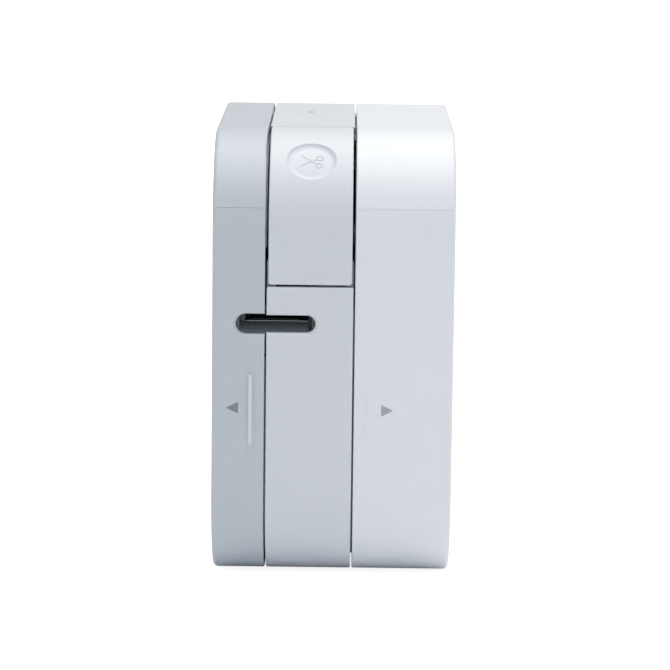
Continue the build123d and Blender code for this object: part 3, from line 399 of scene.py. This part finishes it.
# ------------------------------------------------------------------ power button and light
# A flush round ABS button with a grey printed standby mark, a broken ring and a bar, and
# beside it a frosted polycarbonate light guide pressed into the band from inside.
dress(moulded("abs_white_button", "#EEF0F2", 0.36), "power_button")
button_low, button_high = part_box("power_button")
button_x, button_y = (button_low.x + button_high.x) / 2, (button_low.y + button_high.y) / 2
line_half, line_rise, mark_r = 0.16, 0.04, 0.9 * MM
flat_bar = [(-line_half, 0), (line_half, 0), (line_half, line_rise), (-line_half, line_rise)]
flat_bar = np.array(flat_bar) * MM
broken = np.radians(np.linspace(125, 415, 40))
mark_ring = np.stack(
    [
        button_x + mark_r * np.cos(broken),
        button_y + mark_r * np.sin(broken),
        np.full(len(broken), button_high.z),
    ],
    -1,
)
rod("standby_ring", mark_ring, flat_bar, (0, 0, 1), ink, "power_button")
bar_y = button_y + np.linspace(0.15, 1.25, 4) * MM
mark_bar = np.stack([np.full(4, button_x), bar_y, np.full(4, button_high.z)], -1)
rod("standby_bar", mark_bar, flat_bar, (0, 0, 1), ink, "power_button")

guide, guide_tree, guide_shader = finish("frosted_polycarbonate", "#DDE7E2", 0.35, ior=1.585)
guide_shader.inputs["Subsurface Weight"].default_value = 0.4
guide_shader.inputs["Subsurface Radius"].default_value = (1 * MM, 1 * MM, 1 * MM)
frost = add(
    guide_tree,
    "ShaderNodeTexNoise",
    {"Vector": add(guide_tree, "ShaderNodeTexCoord").outputs["Object"], "Scale": 4000.0},
)
frost_bump = add(
    guide_tree,
    "ShaderNodeBump",
    {"Height": frost.outputs["Fac"], "Strength": 0.1, "Distance": 0.02 * MM},
)
guide_tree.links.new(frost_bump.outputs["Normal"], guide_shader.inputs["Normal"])
dress(guide, "led_lens")


# ------------------------------------------------------------------ cutter
# Behind the exit stand two hardened strip-steel blades. The fixed one is let into a grey
# glass-filled nylon duct and the moving one is fixed to a dark nylon carrier that follows
# the lever. A wire spring works against the lever. Two thin sheets, one near black and one
# mid grey, close the slot's right end as painted shade for its shadowed end wall.
def metal(name, colour, roughness, line_mm=0.15, along="z", wear=0.06):
    """Rolled, drawn or ground metal: fine lines along one axis, seen in its roughness."""
    made, tree, shader = finish(name, colour, roughness, Metallic=1.0)
    fine, slow = 1 / (line_mm * MM) / 2, 60.0
    scale = [slow if axis == along else fine for axis in "xyz"]
    where = add(
        tree,
        "ShaderNodeMapping",
        {"Vector": add(tree, "ShaderNodeTexCoord").outputs["Object"], "Scale": scale},
    )
    lines = add(
        tree,
        "ShaderNodeTexNoise",
        {"Vector": where.outputs["Vector"], "Scale": 1.0, "Detail": 4.0},
    )
    rough = add(
        tree,
        "ShaderNodeMapRange",
        {"Value": lines.outputs["Fac"], "To Min": roughness - wear, "To Max": roughness + wear},
    )
    tree.links.new(rough.outputs["Result"], shader.inputs["Roughness"])
    bump = add(
        tree,
        "ShaderNodeBump",
        {"Height": lines.outputs["Fac"], "Strength": 0.15, "Distance": 0.01 * MM},
    )
    tree.links.new(bump.outputs["Normal"], shader.inputs["Normal"])
    return made


dress(moulded("glass_filled_nylon_grey", "#7D8488", 0.55, grain_mm=0.2, depth=0.12), "cutter_guide")
dress(moulded("nylon_dark_grey", "#24272A", 0.5), "blade_carrier")
throat_y, throat_low, throat_high = face_y + 2.98 * MM, 65.3, 70.3
# Painted shade: thin sheets, near black and mid grey, laid where the slot's right end lies in shadow.
for name, low_x, high_x, colour in (
    ("exit_painted_shade_sheet", -6.2, -5.3, "#15191A"),
    ("exit_cheek_end", -5.3, -4.3, "#6A7076"),
):
    edges = [(low_x, throat_low), (high_x, throat_low), (high_x, throat_high), (low_x, throat_high)]
    shade_sheet_finish = moulded(f"nylon_{name}", colour, 0.55)
    slab(name, edges, -0.15 * MM, shade_sheet_finish, "chassis", throat_y)
dress(metal("ground_strip_steel", "#A9ACAE", 0.22, along="x"), "fixed_blade")
dress(metal("blued_strip_steel", "#15181A", 0.45, along="x"), "moving_blade")
dress(metal("drawn_spring_wire", "#B9B6AE", 0.25, line_mm=0.05, along="x"), "lever_spring")
dress(metal("turned_pin_steel", "#B4B6B8", 0.2, line_mm=0.08, along="y"), "lever_pin", "head_pin")

# ------------------------------------------------------------------ gear train
# Gears are moulded in natural acetal, slightly glossy, and turn on drawn steel pins. The
# motor's pinion is brass. The platen is an acetal shaft in a ground silicone rubber sleeve,
# and a plated sheet plate holds the outer ends of the pins.
acetal = moulded("natural_acetal", "#E4E0D2", 0.32, grain_mm=0.6, depth=0.03)
dress(acetal, "first_gear", "second_gear", "platen_shaft", "take_up_spindle")
dress(metal("machined_brass", "#C9A65A", 0.24, line_mm=0.1, along="x"), "motor_pinion")
dress(metal("drawn_axle_steel", "#BBBDBF", 0.2, line_mm=0.08, along="x"), "gear_axles")
dress(moulded("ground_silicone_rubber", "#222325", 0.75, grain_mm=0.15, depth=0.3), "platen_roller")
dress(metal("zinc_plated_sheet", "#AEB4B6", 0.34, line_mm=0.6, along="y"), "gear_plate")

# ------------------------------------------------------------------ motor
# A small brushed motor: a drawn steel can whose rear is crimped over a nylon end cap with
# a bearing boss and two tinned tags. Red and black leads run from the tags to the board.
def turned(name, profile, centre, axis, material, body, count=48):
    """A turned shape: profile is (distance along the axis, radius) in mm, closed at the
    poles where its radius is 0, and is swept round the axis through centre in metres."""
    profile = np.asarray(profile, float) * MM
    angle = np.linspace(0, 2 * math.pi, count, endpoint=False)
    spin = profile[:, 1][:, None]
    first, second = spin * np.cos(angle), spin * np.sin(angle)
    level = np.broadcast_to(profile[:, 0][:, None], first.shape)
    order = {"x": (level, first, second), "y": (second, level, first), "z": (first, second, level)}
    grid = np.stack(order[axis], -1) + np.asarray(centre, float)
    piece = place(name, grid, lattice(len(profile), count, closed=True), material, body)
    tidy_up(piece)
    return piece


dress(metal("drawn_can_steel", "#B7BABC", 0.3, line_mm=0.3, along="x"), "motor")
motor_low, motor_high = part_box("motor")
motor_y, motor_z = (motor_low.y + motor_high.y) / 2, (motor_low.z + motor_high.z) / 2
cap_nylon = moulded("nylon_end_cap", "#2B2D30", 0.45)
turned(
    "motor_end_cap",
    [(0, 2.6), (0.35, 2.7), (0.5, 5.6), (0.35, 6.1), (0, 6.2)],
    (motor_high.x - 0.8 * MM, motor_y, motor_z),
    "x",
    cap_nylon,
    "chassis",
)
tin = metal("tinned_brass", "#C8C8C4", 0.3)


def bezier(points, count=40):
    """A smooth curve drawn towards its control points, by the Bernstein polynomials."""
    points = np.asarray(points, float)
    degree = len(points) - 1
    t = np.linspace(0, 1, count)[:, None]
    k = np.arange(degree + 1)[None, :]
    choose = np.array([math.comb(degree, i) for i in range(degree + 1)])[None, :]
    return (choose * t**k * (1 - t) ** (degree - k)) @ points


board_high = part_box("main_board")[1]
tab = np.array([(-0.15, -0.9), (0.15, -0.9), (0.15, 0.9), (-0.15, 0.9)]) * MM
for name, colour, shift in (("red", "#A8201C", -4.2), ("black", "#17181A", 4.2)):
    tag_at = np.array([motor_high.x - 0.4 * MM, motor_y + shift * MM, motor_z])
    tag_path = tag_at + np.array([(0, 0, 0), (0.7, 0, 0), (1.4, 0, 0), (2.0, 0, 0)]) * MM
    rod(f"motor_tag_{name}", tag_path, tab, (0, 0, 1), tin, "chassis")
    jacket = moulded(f"pvc_lead_{name}", colour, 0.45, grain_mm=0.8, depth=0.02)
    landing_y = motor_y + (shift * 0.4 - 2) * MM
    landing = np.array([board_high.x + 0.2 * MM, landing_y, board_high.z - 2.5 * MM])
    route = [
        tag_at + np.array([1.6, 0, 0]) * MM,
        tag_at + np.array([4.0, 0, -1.0]) * MM,
        tag_at + np.array([3.0, 0, -14.0]) * MM,
        landing + np.array([5.0, 0, 12.0]) * MM,
        landing + np.array([4.0, 0, 1.0]) * MM,
        landing,
    ]
    rod(f"motor_lead_{name}", bezier(route), ring(0.55 * MM), (0, 1, 0), jacket, "chassis")

# ------------------------------------------------------------------ print head
# A strip of glazed alumina is bonded to a bent steel bracket, which swings on a pin. Its
# printed conductors are drawn as brown lines coarser than they are. The bracket's spring
# is three turns of music wire with a flat turn at each end, wound here as a helix.
dress(metal("bracket_sheet_steel", "#A4A8AA", 0.33, line_mm=0.5, along="x"), "head_bracket")
alumina, alumina_tree, alumina_shader = finish("glazed_alumina", "#D9CFB6", 0.12, ior=1.76)
head_at = add(alumina_tree, "ShaderNodeTexCoord").outputs["Object"]
dots = add(
    alumina_tree,
    "ShaderNodeTexBrick",
    {
        "Vector": head_at,
        "Scale": 1 / (0.6 * MM),
        "Color1": linear("#D9CFB6"),
        "Color2": linear("#CFC3A4"),
        "Mortar": linear("#7A5C34"),
        "Mortar Size": 0.06,
    },
)
alumina_tree.links.new(dots.outputs["Color"], alumina_shader.inputs["Base Color"])
dress(alumina, "print_head")
spring_low, spring_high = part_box("head_spring")
music_wire = metal("music_wire", "#B0AEA8", 0.25, line_mm=0.05)
coil_wire, free_turns, flat_turns = 0.25 * MM, 3, 1
coil_turns = np.linspace(0, free_turns + 2 * flat_turns, 181)
coil_length = spring_high.z - spring_low.z - 2 * coil_wire
coil_rise = coil_length * np.clip((coil_turns - flat_turns) / free_turns, 0, 1)
coil_foot = np.array([spring_low.x + spring_high.x, spring_low.y + spring_high.y, 0]) / 2
coil_foot[2] = spring_low.z
coil_r = (spring_high.x - spring_low.x) / 2 - coil_wire
coil_path = coil_foot + np.stack(
    [
        coil_r * np.cos(2 * math.pi * coil_turns),
        coil_r * np.sin(2 * math.pi * coil_turns),
        coil_wire + coil_rise,
    ],
    -1,
)
head_coil = rod(
    "head_coil", coil_path, ring(coil_wire, 10), (0, 0, 1), music_wire, "chassis"
)
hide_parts("head_spring")
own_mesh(head_coil)


# ------------------------------------------------------------------ tape cassette
# The cartridge is two shells of smoke-tinted high impact polystyrene snapped together
# over the rolls. Each roll shows its wound edge: white label tape, clear film, ink ribbon.
wave_length = 0.314  # a wave texture at scale 1 repeats after this many units


def wound(name, colour, edge, centre, roughness, turn_mm=0.45):
    """The edge of a wound roll: rings about its own axis, drawn coarser than the tape."""
    made, tree, shader = finish(name, colour, roughness)
    where = add(
        tree,
        "ShaderNodeMapping",
        {
            "Vector": add(tree, "ShaderNodeTexCoord").outputs["Object"],
            "Location": (0.0, -centre[0], -centre[1]),
        },
    )
    rings = add(
        tree,
        "ShaderNodeTexWave",
        {
            "Vector": where.outputs["Vector"],
            "Scale": wave_length / (turn_mm * MM),
            "Distortion": 0.4,
        },
        wave_type="RINGS",
        rings_direction="X",
    )
    tone = add(
        tree,
        "ShaderNodeMix",
        {"Factor": rings.outputs["Fac"], "A": linear(edge), "B": linear(colour)},
        data_type="RGBA",
    )
    tree.links.new(tone.outputs["Result"], shader.inputs["Base Color"])
    bump = add(
        tree,
        "ShaderNodeBump",
        {"Height": rings.outputs["Fac"], "Strength": 0.2, "Distance": 0.03 * MM},
    )
    tree.links.new(bump.outputs["Normal"], shader.inputs["Normal"])
    return made


smoke = moulded("smoked_polystyrene", "#1A2322", 0.36, grain_mm=0.5, depth=0.03)
dress(smoke, "cassette_case", "cassette_lid")
for node, material_name, colour, edge, rough in (
    ("tape_roll", "label_tape_wound", "#EDEDEA", "#C9CAC8", 0.5),
    ("film_roll", "clear_film_wound", "#C5CCCC", "#98A2A3", 0.2),
    ("ribbon_supply", "ink_ribbon_wound", "#1E1F22", "#0E0F10", 0.3),
    ("ribbon_take_up", "ink_ribbon_spent", "#26272B", "#121315", 0.3),
):
    low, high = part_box(node)
    middle = ((low.y + high.y) / 2, (low.z + high.z) / 2)
    dress(wound(material_name, colour, edge, middle, rough), node)
dress(moulded("label_tape_polyester", "#8C9294", 0.35, grain_mm=1.2, depth=0.02), "label_tape")

lid_low, lid_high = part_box("cassette_lid")
sticker_paper = moulded("coated_paper_sticker", "#E9EAE6", 0.4, grain_mm=0.8, depth=0.03)
stripe_ink = moulded("flexo_printed_stripe", "#5F8FB0", 0.45, grain_mm=0.8, depth=0.02)


def rounded(low, high, radius, count=6):
    """A rectangle with round corners as points, anticlockwise, in mm."""
    quarter = np.linspace(0, math.pi / 2, count)
    corners = []
    for turn_by, cx, cy in (
        (0, high[0] - radius, high[1] - radius),
        (1, low[0] + radius, high[1] - radius),
        (2, low[0] + radius, low[1] + radius),
        (3, high[0] - radius, low[1] + radius),
    ):
        angle = quarter + turn_by * math.pi / 2
        corners.append(np.stack([cx + radius * np.cos(angle), cy + radius * np.sin(angle)], -1))
    return np.concatenate(corners)


def sticker(name, low, high, radius, lift, material, body, x):
    """A thin sheet with round corners on a face square to X, raised by lift."""
    outline = rounded(low, high, radius) * MM
    count = len(outline)
    levels = np.array([x, x + lift])
    points = np.stack(
        [
            np.repeat(levels, count).reshape(2, count),
            np.broadcast_to(outline[:, 0], (2, count)),
            np.broadcast_to(outline[:, 1], (2, count)),
        ],
        -1,
    )
    ends = [list(range(count)), list(range(count, 2 * count))]
    piece = place(name, points, lattice(2, count, closed=True) + ends, material, body)
    tidy_up(piece)
    return piece


lid_y = (lid_low.y / MM, lid_high.y / MM)
for name, low, high, radius, lift, paper in (
    ("cassette_sticker", (lid_y[0] + 18, 30), (lid_y[1] - 4, 54), 2.0, -0.08, sticker_paper),
    ("cassette_sticker_stripe", (lid_y[0] + 18.5, 47), (lid_y[1] - 4.5, 51), 0.5, -0.1, stripe_ink),
):
    sticker(name, low, high, radius, lift * MM, paper, "chassis", lid_low.x)

# ------------------------------------------------------------------ cells and contacts
# Six AAA cells stand in a row, every other one upside down. Each is a nickelled can in a
# shrunk printed film with a gold band round its positive end. The contacts are nickelled
# spring steel, wire coils and plates, and the tray marks each cell's poles.
film_print = {}
colour_plain, colour_band = "#33465A", "#C9B07A"
for up in (True, False):
    made, tree, shader = finish(f"shrink_film_{'up' if up else 'down'}", colour_plain, 0.22)
    film_at = add(tree, "ShaderNodeTexCoord").outputs["Object"]
    split = add(tree, "ShaderNodeSeparateXYZ", {"Vector": film_at})
    low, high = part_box("battery_1" if up else "battery_2")
    level = add(
        tree,
        "ShaderNodeMapRange",
        {"Value": split.outputs["Z"], "From Min": low.z, "From Max": high.z},
    )
    bands = add(tree, "ShaderNodeValToRGB", {"Fac": level.outputs["Result"]})
    bands.color_ramp.interpolation = "CONSTANT"
    below, change_at, above = (colour_plain, 0.74, colour_band)
    if not up:
        below, change_at, above = (colour_band, 0.28, colour_plain)
    stops = bands.color_ramp.elements
    stops[0].color = linear(below)
    stops[1].position = change_at
    stops[1].color = linear(above)
    tree.links.new(bands.outputs["Color"], shader.inputs["Base Color"])
    crease = add(tree, "ShaderNodeTexNoise", {"Vector": film_at, "Scale": 700.0, "Detail": 2.0})
    bump = add(
        tree,
        "ShaderNodeBump",
        {"Height": crease.outputs["Fac"], "Strength": 0.08, "Distance": 0.05 * MM},
    )
    tree.links.new(bump.outputs["Normal"], shader.inputs["Normal"])
    film_print[up] = made
can_steel = metal("nickelled_can", "#C4C3BE", 0.2, line_mm=0.2)
cell_count = 6
for number in range(1, cell_count + 1):
    node = f"battery_{number}"
    dress(can_steel, node)
    low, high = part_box(node)
    radius = (high.x - low.x) / 2 / MM
    upwards = number % 2 == 1
    foot = 0.25 if upwards else 1.05
    length = (high.z - low.z) / MM - 0.8
    head = foot + length - 0.5
    skin = [(foot, radius - 1.6), (foot - 0.02, radius - 0.5), (foot + 0.25, radius + 0.02)]
    skin += [(foot + 0.6, radius + 0.06), (head - 0.6, radius + 0.06)]
    skin += [(head - 0.2, radius + 0.02), (head + 0.02, radius - 0.5), (head, radius - 1.6)]
    turned(
        f"cell_film_{number}",
        skin,
        ((low.x + high.x) / 2, (low.y + high.y) / 2, low.z),
        "z",
        film_print[upwards],
        "chassis",
        count=64,
    )
contact_steel = metal("nickelled_spring_steel", "#CBC8BF", 0.22, line_mm=0.1)
dress(contact_steel, "battery_contacts", "battery_springs")

mark_grey = moulded("moulded_polarity_mark", "#9BA1A6", 0.5)
tray_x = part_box("battery_tray")[1].x
arm, half, soft = 1.1, 0.25, 0.2
for number in range(1, cell_count + 1):
    low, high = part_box(f"battery_{number}")
    y = (low.y + high.y) / 2 / MM
    plus_end = "top" if number % 2 == 1 else "foot"
    for end, z in (("top", 65.6), ("foot", 9.6)):
        strokes = [("bar", arm, half, 0.15)]
        if end == plus_end:
            strokes.append(("post", half, arm, 0.16))
        for part, wide, tall, lift in strokes:
            sticker(
                f"polarity_{number}_{end}_{part}",
                (y - wide, z - tall),
                (y + wide, z + tall),
                soft,
                lift * MM,
                mark_grey,
                "chassis",
                tray_x,
            )


# ------------------------------------------------------------------ circuit boards
# Four-layer fibreglass board under green solder mask: tracks show as paler lines with
# tinned pads. It carries a controller, a motor driver, a wireless module under a drawn
# tin can and two smoothing capacitors. The inlet is a black nylon socket with a tinned pin.
def solder_mask(name, track_mm=1.1):
    """Green solder mask over copper: angular tracks, and small round tinned pads."""
    made, tree, shader = finish(name, "#14492C", 0.3)
    where = add(tree, "ShaderNodeTexCoord").outputs["Object"]
    tracks = add(
        tree,
        "ShaderNodeTexVoronoi",
        {"Vector": where, "Scale": 1 / (4 * track_mm * MM), "Randomness": 0.6},
        feature="DISTANCE_TO_EDGE",
    )
    line = add(
        tree,
        "ShaderNodeMapRange",
        {
            "Value": tracks.outputs["Distance"],
            "From Min": 0.04,
            "From Max": 0.07,
            "To Min": 1.0,
            "To Max": 0.0,
        },
    )
    green = add(
        tree,
        "ShaderNodeMix",
        {"Factor": line.outputs["Result"], "A": linear("#0F3D25"), "B": linear("#1F6A42")},
        data_type="RGBA",
    )
    pad_pitch = 2.54 * MM
    pads = add(
        tree,
        "ShaderNodeTexVoronoi",
        {"Vector": where, "Scale": 1 / pad_pitch, "Randomness": 0.15},
    )
    dot = add(
        tree,
        "ShaderNodeMath",
        {0: pads.outputs["Distance"], 1: 0.14},
        operation="LESS_THAN",
    )
    colour = add(
        tree,
        "ShaderNodeMix",
        {"Factor": dot.outputs["Value"], "A": green.outputs["Result"], "B": linear("#B9BBB4")},
        data_type="RGBA",
    )
    tree.links.new(colour.outputs["Result"], shader.inputs["Base Color"])
    bump = add(
        tree,
        "ShaderNodeBump",
        {"Height": line.outputs["Result"], "Strength": 0.3, "Distance": 0.03 * MM},
    )
    tree.links.new(bump.outputs["Normal"], shader.inputs["Normal"])
    return made


dress(solder_mask("green_solder_mask"), "main_board", "switch_board")
dress(moulded("epoxy_moulding_compound", "#1A1B1D", 0.42, grain_mm=0.12, depth=0.15), "board_chips")
dress(metal("drawn_tin_can", "#BFC2C3", 0.28, line_mm=0.25, along="y"), "wireless_module")
dress(moulded("nylon_socket_black", "#151617", 0.5), "dc_inlet")
dress(metal("tinned_contact_pin", "#C9C9C6", 0.2, line_mm=0.08, along="y"), "inlet_pin")
dress(moulded("switch_housing_black", "#222326", 0.4), "tact_switch")
leg = np.array([(-0.2, -0.06), (0.2, -0.06), (0.2, 0.06), (-0.2, 0.06)]) * MM
leg_bend = np.array([(0.5, 0), (0.5, 0.5), (0.08, 0.8), (0.08, 1.5)]) * MM
leg_ends = np.array([(0, 1, 2, 3), (15, 14, 13, 12)])
solder = metal("reflowed_solder", "#BDBFBE", 0.25, line_mm=0.2)
for name, low_y, high_y, low_z, high_z, pitch in (
    ("controller", -12, 2, 28, 42, 1.2),
    ("motor_driver", 10, 18, 20, 30, 1.25),
    ("charge_guard", 8, 16, 38, 44, 1.25),
):
    leg_points, leg_faces = [], []
    for z in np.arange(low_z + 1.0, high_z - 0.5, pitch):
        for edge, way in ((low_y, -1), (high_y, 1)):
            first = len(leg_points) * 16
            line = np.stack(
                [board_high.x + leg_bend[:, 0], edge * MM + way * leg_bend[:, 1], np.full(4, z * MM)], -1
            )
            leg_points.append(carry(line, leg, (0, 0, 1)).reshape(-1, 3))
            leg_faces += lattice(4, 4, closed=True, first=first) + (leg_ends + first).tolist()
    legs = place(
        f"{name}_legs", np.concatenate(leg_points), leg_faces, solder, "chassis", False
    )
    tidy_up(legs, sharp=False)

# ------------------------------------------------------------------ screws
# Nickel plated cross-head self-tapping screws hold the tray, the gear plate and the
# board. They are cold formed, and the plating shows fine lines along each screw.
dress(
    metal("nickelled_screw_steel", "#BEBFBC", 0.26, line_mm=0.12, along="x"),
    "tray_screws",
    "plate_screws",
    "board_screws",
)
